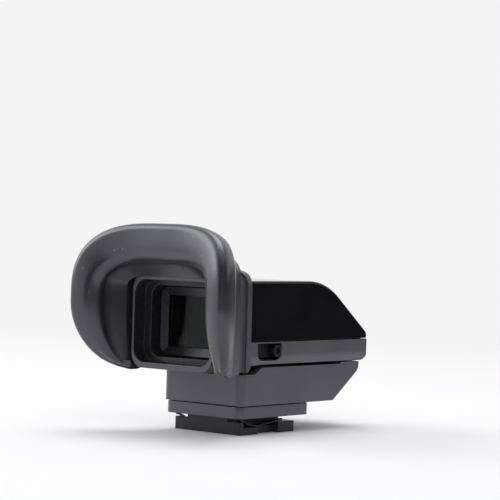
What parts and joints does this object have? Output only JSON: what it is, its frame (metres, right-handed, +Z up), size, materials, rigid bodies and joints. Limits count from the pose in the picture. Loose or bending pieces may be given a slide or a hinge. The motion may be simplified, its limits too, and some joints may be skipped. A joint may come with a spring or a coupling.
{
  "type": "electronic viewfinder",
  "caption": "Clip-on electronic viewfinder: a head with eyepiece, flared rubber eyecup and focusing lever tips up on a base with an accessory shoe foot.",
  "frame": {"origin": "centre of the shoe foot's underside", "axes": "+X the user's right, +Y away from the eye along the line of sight, +Z up"},
  "size_m": [0.044, 0.062, 0.044],
  "materials": {
    "satin_black_plastic": "satin moulded black",
    "gloss_black_plastic": "polished black",
    "dull_black_plastic": "dull black",
    "charcoal_rubber": "smooth satin rubber",
    "coated_glass": "green-coated optical glass",
    "display_glass": "dark display glass",
    "bright_steel": "bright steel",
    "gold_plate": "gold plated",
    "circuit_board": "green solder mask",
    "flex_circuit": "amber polyimide",
    "chip_resin": "dull black resin"
  },
  "bodies": {
    "base": {"shoe_foot": "satin_black_plastic", "shoe_contact_block": "dull_black_plastic", "shoe_contacts": "gold_plate", "shoe_spring_1": "bright_steel", "shoe_spring_2": "bright_steel", "base_lower_plate": "satin_black_plastic", "base_housing": "satin_black_plastic", "base_board": "circuit_board", "base_socket": "dull_black_plastic", "base_screw_1": "bright_steel", "base_screw_2": "bright_steel", "base_screw_3": "bright_steel", "base_screw_4": "bright_steel", "base_flex": "flex_circuit", "hinge_base_bracket": "bright_steel", "hinge_shaft": "bright_steel", "hinge_washer_1": "bright_steel", "hinge_washer_2": "bright_steel", "hinge_nut_1": "bright_steel", "hinge_nut_2": "bright_steel"},
    "head": {"hinge_head_bracket": "bright_steel", "head_lower_housing": "satin_black_plastic", "head_top_cover": "gloss_black_plastic", "head_screw_1": "bright_steel", "head_screw_2": "bright_steel", "head_screw_3": "bright_steel", "head_screw_4": "bright_steel", "eyepiece_frame": "satin_black_plastic", "window_bezel": "satin_black_plastic", "eyepiece_window": "coated_glass", "lens_barrel": "dull_black_plastic", "lever_pivot_pin": "bright_steel", "display_holder": "dull_black_plastic", "display_mask": "chip_resin", "oled_panel": "display_glass", "display_driver_board": "circuit_board", "head_board": "circuit_board", "head_chip_1": "chip_resin", "head_chip_2": "chip_resin", "head_flex": "flex_circuit"},
    "focus_lever": {"diopter_lever": "dull_black_plastic"},
    "lens_group": {"lens_carrier": "dull_black_plastic", "rear_lens": "coated_glass", "middle_lens": "coated_glass", "front_lens": "coated_glass", "rear_retainer": "dull_black_plastic", "front_retainer": "dull_black_plastic"},
    "eyecup": {"eyecup_base": "dull_black_plastic", "eyecup_hood": "charcoal_rubber"}
  },
  "joints": [
    {"name": "head_tilt", "type": "hinge", "parent": "base", "child": "head", "pos_m": [0, 0.0295, 0.01725], "axis": [-1, 0, 0], "range_deg": [0, 90]},
    {"name": "diopter_swing", "type": "hinge", "parent": "head", "child": "focus_lever", "pos_m": [0.009, -0.00213, 0.02739], "axis": [-1, 0, 0], "range_deg": [0, 27.17]},
    {"name": "lens_slide", "type": "slide", "parent": "head", "child": "lens_group", "axis": [0, -1, 0], "range_m": [0, 0.00197]},
    {"name": "eyecup_pull", "type": "slide", "parent": "head", "child": "eyecup", "axis": [0, -1, 0], "range_m": [0, 0.025]}
  ],
  "couplings": [
    {"joint": "diopter_swing", "follows": "lens_slide", "rad_per_m": 240.4}
  ]
}
